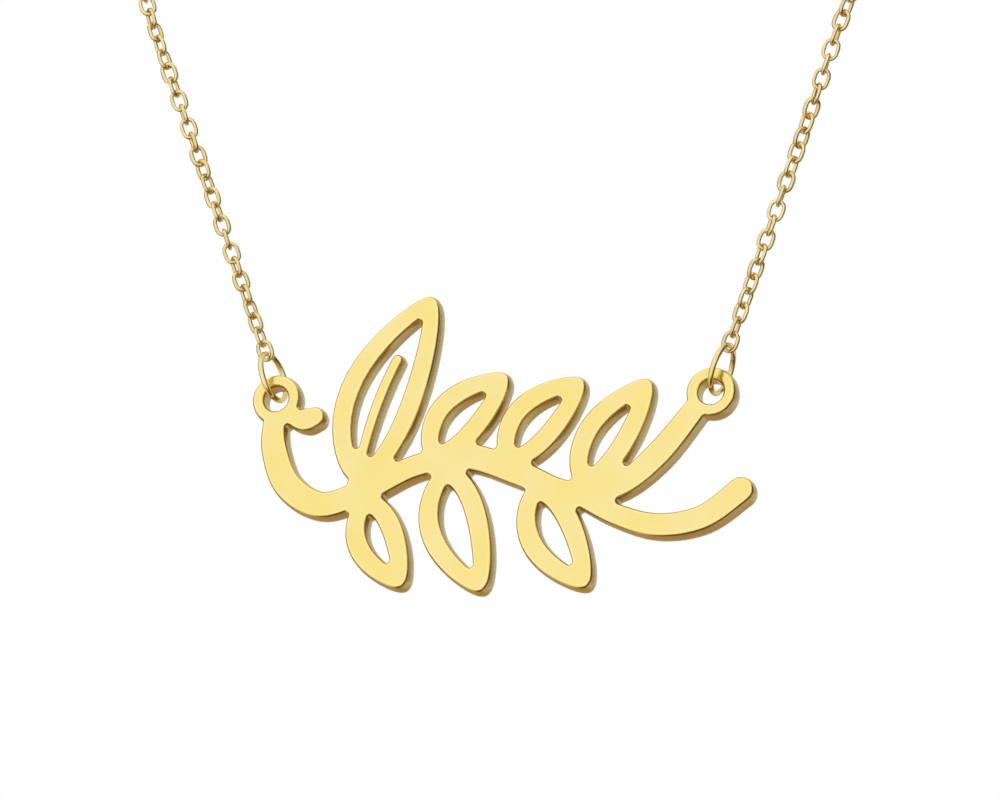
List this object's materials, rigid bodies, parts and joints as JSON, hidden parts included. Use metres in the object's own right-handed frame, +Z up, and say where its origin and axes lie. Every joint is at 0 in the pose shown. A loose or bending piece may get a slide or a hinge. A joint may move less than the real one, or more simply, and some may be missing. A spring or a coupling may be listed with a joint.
{
  "type": "nameplate necklace",
  "caption": "Fine cable-chain necklace with a flat openwork leaf-spray nameplate hung between two jump rings, kept in its worn form.",
  "frame": {"origin": "the nape, in the middle of the clasp, where the necklace sits on the back of the neck", "axes": "+Z is up, +X is to the right in the picture, and the plate faces -Y"},
  "size_m": [0.1156, 0.1167, 0.114],
  "materials": {
    "plate_gold": "polished yellow-gold plating on a flat face, with softened cut edges",
    "ring_gold": "polished yellow-gold plated wire",
    "chain_gold": "bright yellow-gold plated cable-chain wire",
    "clasp_gold": "polished yellow-gold plated barrel"
  },
  "bodies": {
    "chain": {"jump_ring_left": "ring_gold", "jump_ring_right": "ring_gold", "end_link_left": "chain_gold", "end_link_right": "chain_gold", "chain_left": "chain_gold", "chain_right": "chain_gold", "clasp_link_left": "chain_gold", "clasp_link_right": "chain_gold", "clasp": "clasp_gold"},
    "plate": {"nameplate": "plate_gold"}
  },
  "joints": [
    {"name": "plate_swing", "type": "hinge", "parent": "chain", "child": "plate", "pos_m": [0, -0.11, -0.09559], "axis": [1, 0, 0], "range_deg": [-45, 75]}
  ]
}
